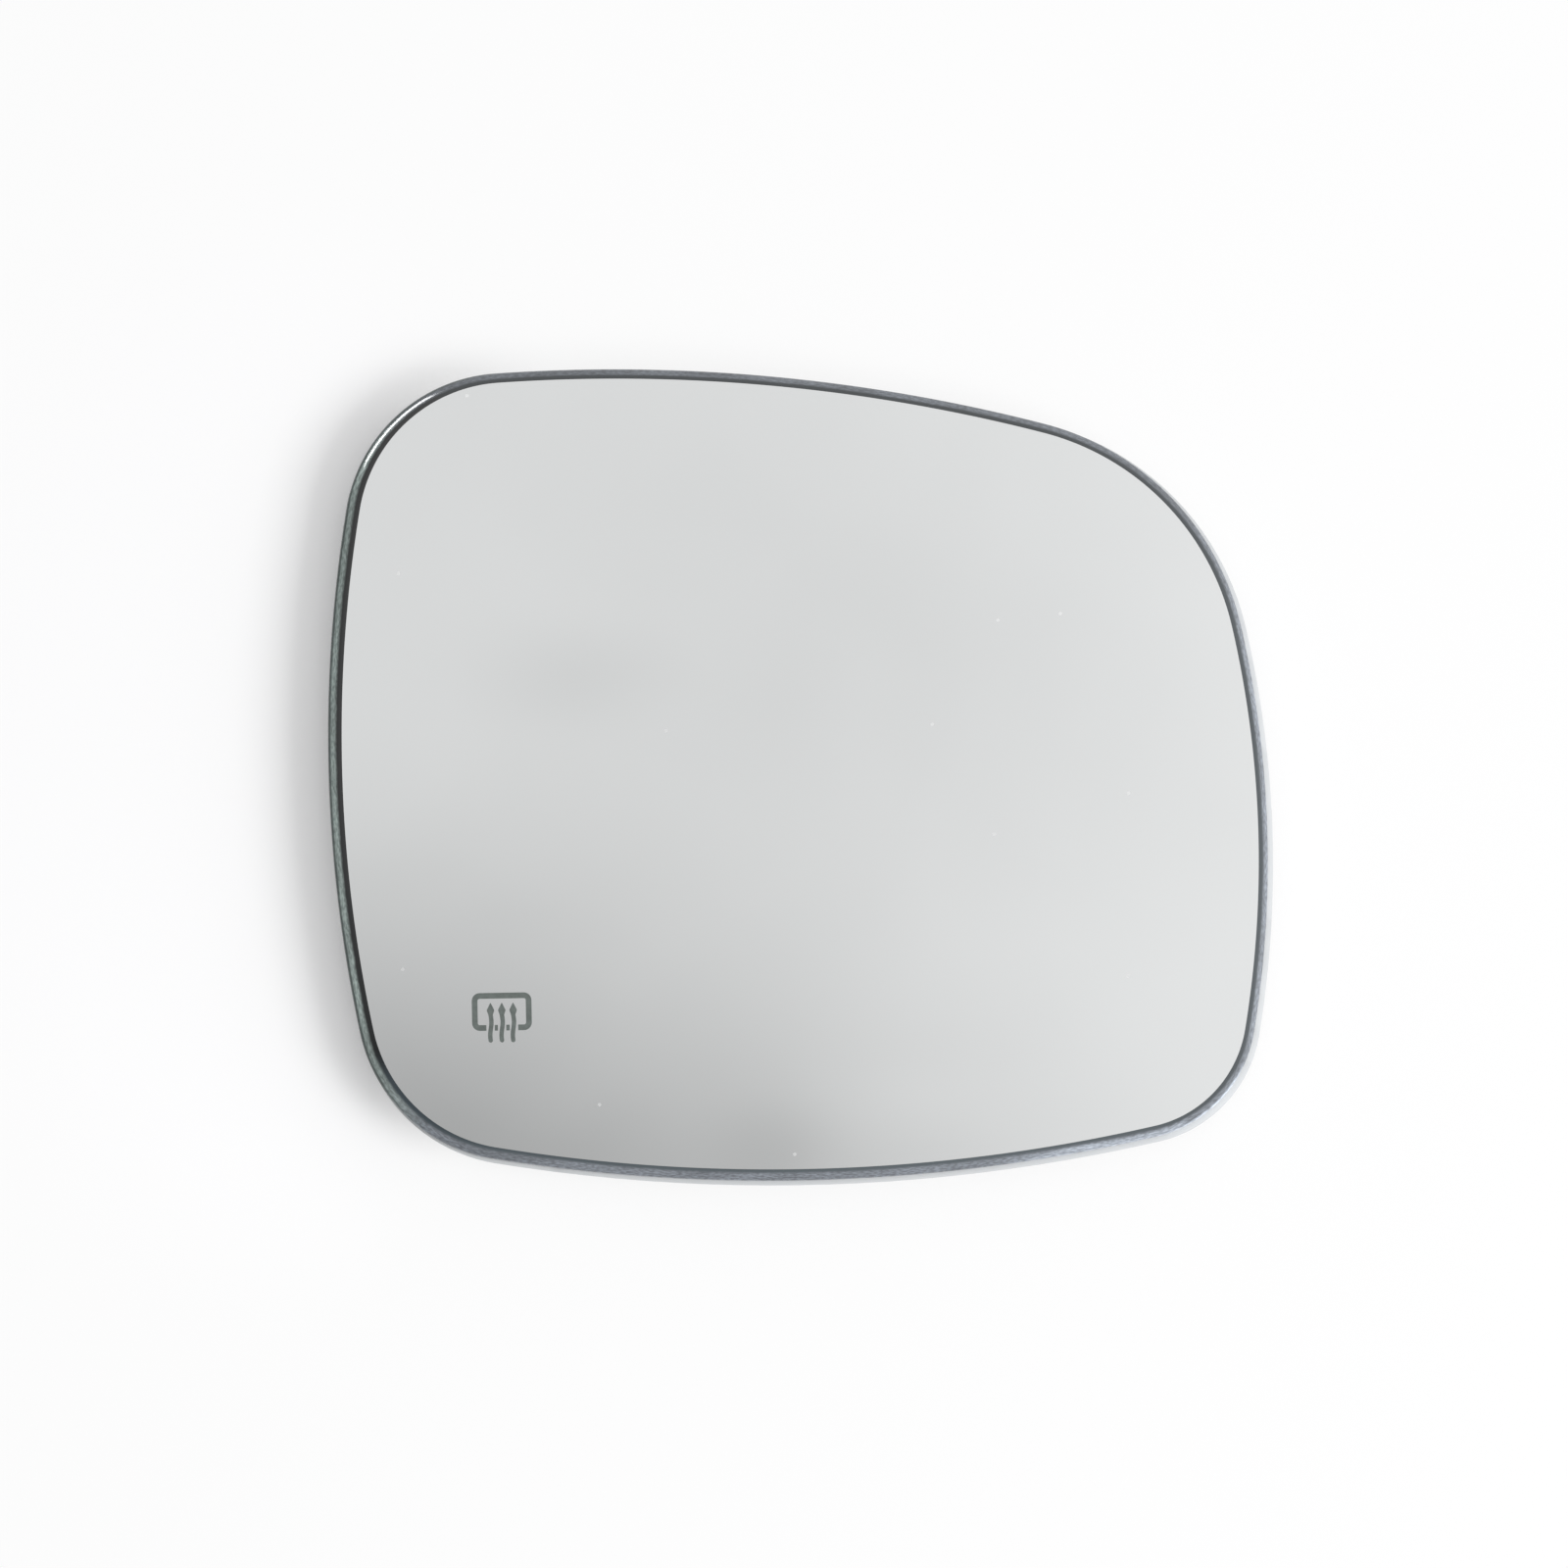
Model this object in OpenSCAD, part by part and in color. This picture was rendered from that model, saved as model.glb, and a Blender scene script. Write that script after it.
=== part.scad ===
// Heated door mirror glass for a car, lying face up on the clip ring of its backing plate.
// Origin: centre of the clip ring, on the plane where the ring stands. +Z is the way the mirror looks.
// +X is right and +Y is up for someone who looks at the mirror.
// All layers are concentric shells about one centre of curvature, cut by upright walls.

/* [Outline of the glass] */
// Width of the glass over its ground edge
glass_w = 189.4; // [170:0.1:210]
// Height of the glass over its ground edge
glass_h = 163.6; // [145:0.1:185]
// Radius of the right side
right_r = 212; // [180:1:400]
// Height above the centre of the outermost point of the right side
right_apex = -17.5; // [-24:0.5:-5]
// Radius of the top side
top_r = 352; // [300:1:600]
// Place right of the centre of the topmost point
top_apex = -38; // [-46:0.5:-20]
// Radius of the left side
left_r = 286; // [240:1:500]
// Height above the centre of the outermost point of the left side
left_apex = 8.5; // [0:0.5:18]
// Radius of the bottom side
bottom_r = 349; // [300:1:600]
// Place right of the centre of the lowest point
bottom_apex = -6; // [-16:0.5:6]
// Radius of the upper right corner
corner_top_right = 54.5; // [44:0.5:62]
// Radius of the upper left corner
corner_top_left = 32.5; // [24:0.5:40]
// Radius of the lower left corner
corner_bottom_left = 32.5; // [24:0.5:40]
// Radius of the lower right corner
corner_bottom_right = 26; // [20:0.5:34]

/* [Glass] */
// Radius of curvature of the convex front face
glass_r = 1400; // [1200:10:2400]
// Thickness of the glass
glass_t = 2; // [1.8:0.1:2.4]
// Width of the ground edge, seen from the front
edge_reach = 2.2; // [1:0.1:2.6]
// Depth of the ground edge under the face
edge_drop = 1.15; // [0.6:0.05:1.5]
// Number of facets from the face to the rim
edge_facets = 2; // [1:1:4]

/* [Heater] */
// Gap that stands for the glue line between two bonded layers
bond_gap = 0.05; // [0.02:0.01:0.1]
// Thickness of the heating film
pad_t = 0.5; // [0.3:0.1:0.8]
// Distance from the edge of the glass to the edge of the film
pad_inset = 3; // [2:0.5:5]
// Thickness of the foam tape sheet
foam_t = 1; // [0.8:0.1:1.4]
// Distance from the edge of the glass to the edge of the foam
foam_inset = 4.5; // [3.5:0.5:8]

/* [Terminals] */
// Distance between the two tabs, centre to centre
tab_pitch = 11; // [10:0.5:13]
// Distance of the tabs below the centre of the plate
tab_drop = 49; // [48:0.5:52]
// Width of a tab
tab_w = 6.3; // [4.8:0.1:6.3]
// Thickness of the tab sheet
tab_t = 0.8; // [0.5:0.1:0.8]
// Length of a tab from the film
tab_len = 9; // [8:0.5:9.5]
// Length of the foot that is riveted to the film
foot_len = 8; // [7:0.5:9]
// Diameter of the rivet's shank
rivet_d = 2; // [1.6:0.1:2.4]
// Diameter of the rivet's head
rivet_head_d = 3.6; // [3:0.1:4.2]
// Height of the rivet's head
rivet_head_t = 0.3; // [0.2:0.05:0.3]

/* [Backing plate] */
// Thickness of the plate's skin
plate_t = 2; // [1.6:0.1:2.6]
// Distance by which the rim is larger than the glass, as a mean over both sides
rim_out = 0.35; // [0:0.05:1]
// Place of the rim right of the glass that rests on it
rim_right = 0.7; // [-1:0.05:1]
// Place of the rim below the glass
rim_down = 0.6; // [-1:0.05:1]
// Gap between the heating film and the rim round it
rim_gap = 0.4; // [0.2:0.05:1]
// Thickness of the skirt under the rim
skirt_t = 1.6; // [1.2:0.1:2.4]
// Depth of the skirt and the ribs under the skin
rib_h = 2.6; // [1.5:0.1:3]
// Thickness of a rib
rib_t = 1.6; // [1.2:0.1:2.2]
// Number of ribs from the clip ring to the rim
rib_count = 12; // [12:12:24]
// Distance between the collar of the terminals and the round rib outside it
hoop_gap = 4.2; // [2.2:0.1:9]

/* [Clip ring] */
// Inner radius of the clip ring
ring_r = 33.5; // [31:0.5:35]
// Wall of the clip ring
ring_t = 2.4; // [2:0.1:3]
// Height of the clip ring under the skin, at the centre
ring_h = 9; // [9:0.5:12]
// Number of snap fingers
finger_count = 6; // [3:1:6]
// Width of a snap finger as an angle
finger_turn = 22; // [16:1:26]
// Width of the slot beside a finger
slot_w = 1.6; // [1.2:0.1:2]
// Reach of the gussets between the ring and the straight ribs
gusset_reach = 8; // [4:0.5:12]
// Height by which the gussets stay above the plane on which the ring stands
gusset_lift = 2.5; // [1:0.5:5]
// Height by which the fingers stay above the plane on which the ring stands
finger_lift = 0.6; // [0.4:0.1:1]
// Reach of a finger's hook
hook_reach = 1.2; // [0.8:0.1:1.5]
// Height of the hook's flat land
hook_land = 1; // [0.8:0.1:1.4]
// Thickness of a finger
finger_t = 1.8; // [1.4:0.1:2]

/* [Hidden] */
$fn = 128;
dome_fn = 256;
// Radii of the layers, from the centre of curvature
glass_low = glass_r - glass_t;
pad_top = glass_low - bond_gap;
pad_low = pad_top - pad_t;
foam_top = pad_low - bond_gap;
foam_low = foam_top - foam_t;
skin_top = foam_low - bond_gap;
skin_low = skin_top - plate_t;
rib_low = skin_low - rib_h;
// Height of the centre of curvature: the skin's underside is ring_h above the origin
dome_z = ring_h - skin_low;
// The glass lies left of the ring's axis and above it, so that glass and rim together are centred on it
glass_place = [-(rim_right + rim_out) / 2, (rim_down + rim_out) / 2];
// Depth by which joined bodies reach into each other, and by which cuts run past a face
overlap = 0.6;
cut = 1;
// Upright walls run this far past the ring and the dome
wall_spare = 30;
wall_low = -wall_spare;
wall_high = ring_h + wall_spare;
corner_steps = 20;
side_steps = 22;
// Length by which the first facet of the ground edge runs on above the face
edge_runout = 1;

// Sides and corners in anticlockwise order from the right side
arc_r = [right_r, top_r, left_r, bottom_r];
arc_c = [
    [glass_w / 2 - right_r, right_apex] + glass_place,
    [top_apex, glass_h / 2 - top_r] + glass_place,
    [left_r - glass_w / 2, left_apex] + glass_place,
    [bottom_apex, bottom_r - glass_h / 2] + glass_place
];
corner_r = [corner_top_right, corner_top_left, corner_bottom_left, corner_bottom_right];

function next(k) = (k + 1) % 4;
function heading(v) = atan2(v[1], v[0]);
function after(a, b) = b < a ? b + 360 : b;
function unit(v) = v / norm(v);
// Centre of the corner arc that touches side k and the next one from inside
function corner_c(k) =
    let (a = arc_r[k] - corner_r[k], b = arc_r[next(k)] - corner_r[k])
    let (d = arc_c[next(k)] - arc_c[k], l = norm(d))
    let (t = (a * a - b * b + l * l) / (2 * l))
    let (s = sqrt(a * a - t * t) / l * [-d[1], d[0]])
    let (way = [cos(45 + 90 * k), sin(45 + 90 * k)])
    arc_c[k] + t / l * d + (s * way > 0 ? s : -s);
// Heading of the point where corner k touches side j
function touch(k, j) = heading(corner_c(k) - arc_c[j]);
function arc(c, r, a, b, steps, first, last) =
    [for (i = [first:last]) let (h = a + (b - a) * i / steps) c + r * [cos(h), sin(h)]];
// Corner k and the side after it, moved outward by grow
function corner_and_side(k, grow) =
    let (a = touch(k, k), b = after(a, touch(k, next(k))), c = after(b, touch(next(k), next(k))))
    concat(
        arc(corner_c(k), corner_r[k] + grow, a, b, corner_steps, 0, corner_steps),
        arc(arc_c[next(k)], arc_r[next(k)] + grow, b, c, side_steps, 1, side_steps - 1)
    );
function outline_points(grow) = [for (k = [0:3]) each corner_and_side(k, grow)];

// Upright wall round the glass, moved outward from its edge by grow
module wall(grow) {
    translate([0, 0, wall_low])
        linear_extrude(height = wall_high - wall_low)
            polygon(outline_points(grow));
}

// Upright wall round the rim, moved outward from its edge by grow
module rim_wall(grow) {
    translate([rim_right, -rim_down, 0])
        wall(rim_out + grow);
}

// Ball about the centre of curvature
module ball(r) {
    translate([0, 0, dome_z])
        sphere(r = r, $fn = dome_fn);
}

// One domed layer between two radii, inside the upright wall that is passed as its child
module layer(low, high) {
    difference() {
        intersection() {
            children();
            ball(high);
        }
        ball(low);
    }
}

// Places a child on a domed surface of radius r, over the point x, y of the plan
module on_dome(x, y, r) {
    lean = asin(norm([x, y]) / r);
    translate([0, 0, dome_z])
        rotate([0, 0, heading([x, y])])
            rotate([0, lean, 0])
                translate([0, 0, r])
                    rotate([0, 0, -heading([x, y])])
                        children();
}

module block(w, d, low, high) {
    translate([-w / 2, -d / 2, low])
        cube([w, d, high - low]);
}

module at_tabs(r) {
    for (side = [-1, 1])
        on_dome(side * tab_pitch / 2, -tab_drop, r)
            children();
}

// The outline moved by grow, laid on the sphere that lies depth under the face
function laid(grow, depth) =
    [for (p = outline_points(grow)) [p[0], p[1], dome_z + sqrt((glass_r - depth) ^ 2 - p * p)]];
function level(grow, z) = [for (p = outline_points(grow)) [p[0], p[1], z]];
// Grow and depth of facet corner i: a quarter of an ellipse from the face to the rim
function edge_corner(i) =
    let (a = 90 * i / edge_facets)
    [-edge_reach * (1 - sin(a)), edge_drop * (1 - cos(a))];

// Upright body whose shoulder is ground down to the rim and runs on above the face
module ground_wall() {
    first = edge_corner(0);
    second = edge_corner(1);
    over = first - edge_runout * unit(second - first);
    rings = [
        level(over[0], wall_high),
        laid(over[0], over[1]),
        for (i = [1:edge_facets]) laid(edge_corner(i)[0], edge_corner(i)[1]),
        level(0, wall_low)
    ];
    n = len(rings[0]);
    last = (len(rings) - 1) * n;
    polyhedron(
        points = [for (ring = rings) each ring],
        faces = concat(
            [[for (j = [0:n - 1]) n - 1 - j]],
            [[for (j = [0:n - 1]) last + j]],
            [for (i = [0:n:last - n], j = [0:n - 1]) [i + j, i + (j + 1) % n, i + n + (j + 1) % n]],
            [for (i = [0:n:last - n], j = [0:n - 1]) [i + j, i + n + (j + 1) % n, i + n + j]]
        )
    );
}

module mirror_glass() {
    color([0.72, 0.76, 0.76])
        layer(glass_low, glass_r)
            ground_wall();
}

module heater_pad() {
    color([0.16, 0.17, 0.18])
        difference() {
            layer(pad_low, pad_top)
                wall(-pad_inset);
            at_tabs(pad_low)
                rivet_hole();
        }
}

// Clearance hole in the film for the shank of a rivet
module rivet_hole() {
    translate([0, rivet_y, -cut])
        cylinder(h = pad_t + 2 * cut, d = rivet_d + 2 * rivet_gap);
}

// Clearance round the shank of a rivet, and round the terminals in foam and plate
rivet_gap = 0.05;
window_gap = 1;
// The rivet sits in the middle of the foot, which runs up the plate from the tab
rivet_y = foot_len / 2 + tab_t;
collar_w = tab_pitch + tab_w + 3 * window_gap;
collar_d = tab_t + 4 * window_gap;
window_w = tab_pitch + tab_w + 2 * window_gap;
window_d = foot_len + tab_t + 2 * window_gap;

module foam_sheet() {
    color([0.93, 0.93, 0.9])
        difference() {
            layer(foam_low, foam_top)
                wall(-foam_inset);
            on_dome(0, -tab_drop, foam_low)
                translate([0, window_d / 2 - window_gap - tab_t / 2, 0])
                    block(window_w, window_d, -2 * cut, foam_t + 2 * cut);
        }
}

// The foot and the rivet's head stay inside the thickness of the foam
foot_t = min(tab_t, foam_t - rivet_head_t - bond_gap);

module heater_terminals() {
    color([0.85, 0.7, 0.35])
        at_tabs(pad_low - bond_gap)
            difference() {
                union() {
                    translate([0, 0, -tab_len])
                        block(tab_w, tab_t, 0, tab_len);
                    translate([0, foot_len / 2, 0])
                        block(tab_w, foot_len + tab_t, -foot_t, 0);
                }
                translate([0, rivet_y, -foot_t - cut])
                    cylinder(h = foot_t + 2 * cut, d = rivet_d + 2 * rivet_gap);
                translate([0, -tab_t, -tab_len + tab_hole_up])
                    rotate([-90, 0, 0])
                        cylinder(h = 2 * tab_t, d = tab_hole_d);
            }
}

// Hole in which the dimple of a receptacle latches, and its height over the end of the tab
tab_hole_d = 1.7;
tab_hole_up = 3;

module terminal_rivets() {
    color([0.8, 0.66, 0.34])
        at_tabs(pad_low - bond_gap - foot_t)
            translate([0, rivet_y, 0]) {
                translate([0, 0, -rivet_head_t])
                    cylinder(h = rivet_head_t, d = rivet_head_d);
                translate([0, 0, -rivet_head_t / 2])
                    cylinder(h = rivet_head_t / 2 + foot_t + bond_gap + pad_t, d = rivet_d);
            }
}

// Skin and rim in one: a thick dome with a pocket for the film and the foam. The glass rests on the rim
module tray() {
    difference() {
        layer(skin_low, pad_top)
            rim_wall(0);
        difference() {
            wall(rim_gap - pad_inset);
            ball(skin_top);
        }
    }
}

// Skirt, round rib and straight ribs under the skin, all of one depth
module stiffening() {
    difference() {
        layer(rib_low, skin_low + overlap)
            rim_wall(0);
        difference() {
            rim_wall(-skirt_t);
            round_rib();
            for (k = [0:rib_count - 1])
                rotate([0, 0, (k + 0.5) * 360 / rib_count])
                    translate([ring_r + ring_t / 2, -rib_t / 2, wall_low - cut])
                        cube([glass_w, rib_t, wall_high - wall_low + 2 * cut]);
        }
    }
}

// Sloping gusset from the ring down along each straight rib
module gussets() {
    for (k = [0:rib_count - 1])
        rotate([0, 0, (k + 0.5) * 360 / rib_count])
            translate([0, rib_t / 2, 0])
                rotate([90, 0, 0])
                    linear_extrude(height = rib_t)
                        polygon([
                            [ring_out - overlap, gusset_lift],
                            [ring_out, gusset_lift],
                            [ring_out + gusset_reach, ring_h - rib_h],
                            [ring_out + gusset_reach, ring_h - overlap],
                            [ring_out - overlap, ring_h - overlap]
                        ]);
}

// The collar touches the circle of radius hoop_in - hoop_gap at the middle of its outer side
hoop_in = tab_drop + collar_d / 2 + rib_t + hoop_gap;

module round_rib() {
    tall = wall_high - wall_low;
    translate([0, 0, wall_low - cut])
        difference() {
            cylinder(h = tall + 2 * cut, r = hoop_in + rib_t);
            translate([0, 0, -cut])
                cylinder(h = tall + 4 * cut, r = hoop_in);
        }
}

ring_out = ring_r + ring_t;
ring_top = ring_h + overlap / 2;
slot_turn = slot_w / ring_r * 180 / PI;
finger_pitch = 360 / finger_count;

// One fixed part of the ring, on which the mirror stands, and one snap finger
module ring_wall() {
    rotate([0, 0, finger_turn / 2 + slot_turn])
        rotate_extrude(angle = finger_pitch - finger_turn - 2 * slot_turn)
            translate([ring_r, 0])
                square([ring_t, ring_top]);
}

module finger() {
    hook_low = finger_lift + hook_reach;
    rotate([0, 0, -finger_turn / 2])
        rotate_extrude(angle = finger_turn)
            polygon([
                [ring_r, ring_top],
                [ring_r + finger_t, ring_top],
                [ring_r + finger_t, finger_lift],
                [ring_r, finger_lift],
                [ring_r - hook_reach, hook_low],
                [ring_r - hook_reach, hook_low + hook_land],
                [ring_r, hook_low + hook_land]
            ]);
}

// Opening in the skin over a hook, through which the mould forms its catching face
module hook_window() {
    rotate([0, 0, -finger_turn / 2])
        rotate_extrude(angle = finger_turn)
            translate([ring_r - hook_reach - slot_w, ring_h / 2])
                square([hook_reach + slot_w, ring_h]);
}

// Low collar round the slots of the tabs, as deep as the ribs
module collar() {
    on_dome(0, -tab_drop, skin_low)
        difference() {
            block(collar_w + 2 * rib_t, collar_d + 2 * rib_t, -rib_h, overlap);
            block(collar_w, collar_d, -rib_h - cut, overlap + cut);
        }
}

// Slot in the skin for one tab
module tab_slots() {
    at_tabs(skin_low)
        block(tab_w + 2 * window_gap, tab_t + 2 * window_gap, -cut, plate_t + cut);
}

module backing_plate() {
    color([0.9, 0.9, 0.88])
        difference() {
            union() {
                tray();
                stiffening();
                gussets();
                for (k = [0:finger_count - 1])
                    rotate([0, 0, k * finger_pitch]) {
                        ring_wall();
                        finger();
                    }
                collar();
            }
            for (k = [0:finger_count - 1])
                rotate([0, 0, k * finger_pitch])
                    hook_window();
            tab_slots();
        }
}

mirror_glass();
heater_pad();
foam_sheet();
heater_terminals();
terminal_rivets();
backing_plate();
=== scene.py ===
"""Looks of a heated door mirror glass that lies face up on the clip ring of its backing plate.

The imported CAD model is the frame. The glass, with its silvering and its ground edge, and the
heating sign are rebuilt here as surfaces worked out with numpy. The plate gets rounded edges, and
plate, foam, film, tabs and rivets get their finishes. Lengths are in metres, in the frame of the
CAD model.
"""
import logging
import math
from dataclasses import dataclass, field
from enum import Enum

import bmesh
import bpy
import numpy as np
from mathutils import Matrix, Vector


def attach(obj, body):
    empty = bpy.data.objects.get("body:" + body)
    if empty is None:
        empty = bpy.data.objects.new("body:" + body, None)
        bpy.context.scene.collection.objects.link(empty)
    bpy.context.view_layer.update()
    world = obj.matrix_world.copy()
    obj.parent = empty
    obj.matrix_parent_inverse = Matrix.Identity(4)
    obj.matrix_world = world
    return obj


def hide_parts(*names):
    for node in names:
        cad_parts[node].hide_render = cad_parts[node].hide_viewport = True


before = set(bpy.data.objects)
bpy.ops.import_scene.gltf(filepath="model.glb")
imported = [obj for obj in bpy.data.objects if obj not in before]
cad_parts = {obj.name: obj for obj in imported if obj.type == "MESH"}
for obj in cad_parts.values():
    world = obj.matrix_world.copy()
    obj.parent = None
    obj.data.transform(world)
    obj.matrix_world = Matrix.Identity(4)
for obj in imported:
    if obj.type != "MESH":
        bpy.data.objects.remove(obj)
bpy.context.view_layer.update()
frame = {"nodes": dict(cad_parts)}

log = logging.getLogger("mirror")

Piece = bpy.types.Object
Node = bpy.types.Node
Socket = bpy.types.NodeSocket
Value = Socket | float

MM = 0.001
SIDES = 4


# Outline and dome

@dataclass(frozen=True)
class Outline:
    """The outline of the glass: four side arcs joined by four corner arcs.

    It is moved by place. Sides run anticlockwise from the right one, and corners from the upper
    right one. An apex is the height, or the place across, of the outermost point of its side.
    """

    width: float = 189.4 * MM
    height: float = 163.6 * MM
    side_radius: tuple = (212 * MM, 352 * MM, 286 * MM, 349 * MM)
    apex: tuple = (-17.5 * MM, -38 * MM, 8.5 * MM, -6 * MM)
    corner_radius: tuple = (54.5 * MM, 32.5 * MM, 32.5 * MM, 26 * MM)
    place: tuple = (-0.525 * MM, 0.475 * MM)

    def centres(self) -> np.ndarray:
        """Centres of the side arcs: the outermost point, less the radius towards the middle.

        Returns:
            An array of shape (4, 2).
        """
        right, top, left, bottom = self.side_radius
        middles = np.array([
            (self.width / 2 - right, self.apex[0]), (self.apex[1], self.height / 2 - top),
            (left - self.width / 2, self.apex[2]), (self.apex[3], bottom - self.height / 2)])
        return middles + self.place

    def corner_centre(self, k: int) -> np.ndarray:
        """Centre of corner arc k, which touches sides k and k + 1 from inside.

        It is the point at the distance R - r from both side centres, on the corner's own side.

        Args:
            k: the corner.

        Returns:
            The centre, as x and y.
        """
        centre, after = self.centres(), (k + 1) % SIDES
        near = self.side_radius[k] - self.corner_radius[k]
        far = self.side_radius[after] - self.corner_radius[k]
        gap = centre[after] - centre[k]
        length = np.hypot(*gap)
        along = (near ** 2 - far ** 2 + length ** 2) / (2 * length)
        across = math.sqrt(near ** 2 - along ** 2) / length * np.array([-gap[1], gap[0]])
        turn = math.radians(45 + 90 * k)
        if across @ (math.cos(turn), math.sin(turn)) < 0:
            across = -across
        return centre[k] + along / length * gap + across

    def walk(self, per_corner: int = 40, per_side: int = 50) -> tuple[np.ndarray, np.ndarray]:
        """Points round the outline and the outward directions there.

        Each arc is centre + radius * (cos a, sin a), with a stepped evenly between its ends. The
        outward direction is (cos a, sin a) itself, so an offset outline is
        point + offset * direction.

        Args:
            per_corner: steps on each corner arc.
            per_side: steps on each side arc.

        Returns:
            Two arrays of shape (n, 2).
        """
        centre = self.centres()
        points, outward = [], []
        for k in range(SIDES):
            after = (k + 1) % SIDES
            corner, next_corner = self.corner_centre(k), self.corner_centre(after)
            start = math.atan2(*(corner - centre[k])[::-1])
            middle = math.atan2(*(corner - centre[after])[::-1])
            end = math.atan2(*(next_corner - centre[after])[::-1])
            middle += 2 * math.pi if middle < start else 0
            while end < middle:
                end += 2 * math.pi
            for hub, radius, first, last, steps in (
                    (corner, self.corner_radius[k], start, middle, per_corner),
                    (centre[after], self.side_radius[after], middle, end, per_side)):
                angle = first + (last - first) * np.arange(steps) / steps
                ray = np.stack([np.cos(angle), np.sin(angle)], axis=1)
                points.append(hub + radius * ray)
                outward.append(ray)
        return np.concatenate(points), np.concatenate(outward)


@dataclass(frozen=True)
class Dome:
    """Spheres about the centre of curvature of the glass."""

    face_radius: float = 1400 * MM
    face_top: float = 14.65 * MM

    def height(self, xy: np.ndarray, depth: float = 0.0) -> np.ndarray:
        """Height of the sphere that lies depth under the face, over the points xy.

        The sphere of radius R - depth about the point (0, 0, top - R) has the height
        top - R + sqrt((R - depth)^2 - x^2 - y^2).

        Args:
            xy: array of shape (..., 2).
            depth: how far the sphere lies under the face.

        Returns:
            The heights.
        """
        radius = self.face_radius - depth
        return self.face_top - self.face_radius + np.sqrt(radius ** 2 - (xy ** 2).sum(axis=-1))


OUTLINE = Outline()
DOME = Dome()


# Meshes

def make_object(name: str, vertices: np.ndarray, faces: list, smooth: bool = True) -> Piece:
    """Puts vertices and faces into a new object that sits at the origin.

    Args:
        name: name of the piece.
        vertices: array of shape (n, 3).
        faces: vertex numbers of each face, facing outward.
        smooth: whether the faces are shaded smooth.

    Returns:
        The new object, linked to the scene.
    """
    mesh = bpy.data.meshes.new(name)
    mesh.from_pydata(vertices.tolist(), [], faces)
    mesh.polygons.foreach_set("use_smooth", np.full(len(mesh.polygons), smooth))
    mesh.update()
    return place_object(name, mesh)


def place_object(name: str, data: bpy.types.ID) -> bpy.types.Object:
    """Links a new object with the data to the scene.

    Args:
        name: name of the object.
        data: its mesh, lamp or camera.

    Returns:
        The object.
    """
    placed = bpy.data.objects.new(name, data)
    bpy.context.scene.collection.objects.link(placed)
    return placed


def loft(name: str, rows: np.ndarray) -> tuple[Piece, np.ndarray]:
    """Closed surface over rings of points, with a pole at each end.

    A face joins a point and its right neighbour to the same two on the next ring. Each pole is the
    mean of the ring beside it, and the caller moves it onto the surface.

    Args:
        name: name of the piece.
        rows: array of shape (m, n, 3), ring 0 next to the upper pole and ring m - 1 next to the
            lower one.

    Returns:
        The object and, for each face, the number of the ring above it.
    """
    m, n, _ = rows.shape
    grid = np.arange(m * n).reshape(m, n)
    right = np.roll(grid, -1, axis=1)
    quads = np.stack([grid[:-1], grid[1:], right[1:], right[:-1]], axis=-1).reshape(-1, 4)
    top = np.stack([np.full(n, m * n), grid[0], right[0]], axis=-1)
    low = np.stack([np.full(n, m * n + 1), right[-1], grid[-1]], axis=-1)
    poles = np.stack([rows[0].mean(axis=0), rows[-1].mean(axis=0)])
    vertices = np.concatenate([rows.reshape(-1, 3), poles])
    ring_of = np.concatenate([np.repeat(np.arange(m - 1), n), np.full(n, -1), np.full(n, m - 1)])
    return make_object(name, vertices, quads.tolist() + top.tolist() + low.tolist()), ring_of


def strip(rings: np.ndarray) -> tuple[np.ndarray, np.ndarray]:
    """Closed strip: each ring of corners joined to the next, with a flat face at each end.

    Args:
        rings: array of shape (k, 4, 3), the four corners at each station.

    Returns:
        The vertices, and the faces as an array of shape (n, 4).
    """
    k, s, _ = rings.shape
    grid = np.arange(k * s).reshape(k, s)
    right = np.roll(grid, -1, axis=1)
    quads = np.stack([grid[:-1], right[:-1], right[1:], grid[1:]], axis=-1).reshape(-1, 4)
    return rings.reshape(-1, 3), np.concatenate([quads, [grid[0][::-1], grid[-1]]])


def join(parts: list) -> tuple[np.ndarray, np.ndarray]:
    """Several strips as one pair of arrays.

    Args:
        parts: pairs of vertices and faces.

    Returns:
        All the vertices, and all the faces with their vertex numbers raised to match.
    """
    counts = [len(vertices) for vertices, _ in parts]
    firsts = np.cumsum([0, *counts[:-1]])
    vertices = np.concatenate([vertices for vertices, _ in parts])
    return vertices, np.concatenate([faces + first for (_, faces), first in zip(parts, firsts)])


# Shader nodes and the effects that finishes share

class Slot(Enum):
    """Names of two material slots; nothing in this script uses them."""

    GLASS = "mirror_glass"
    PLASTIC = "plate_plastic"


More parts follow.
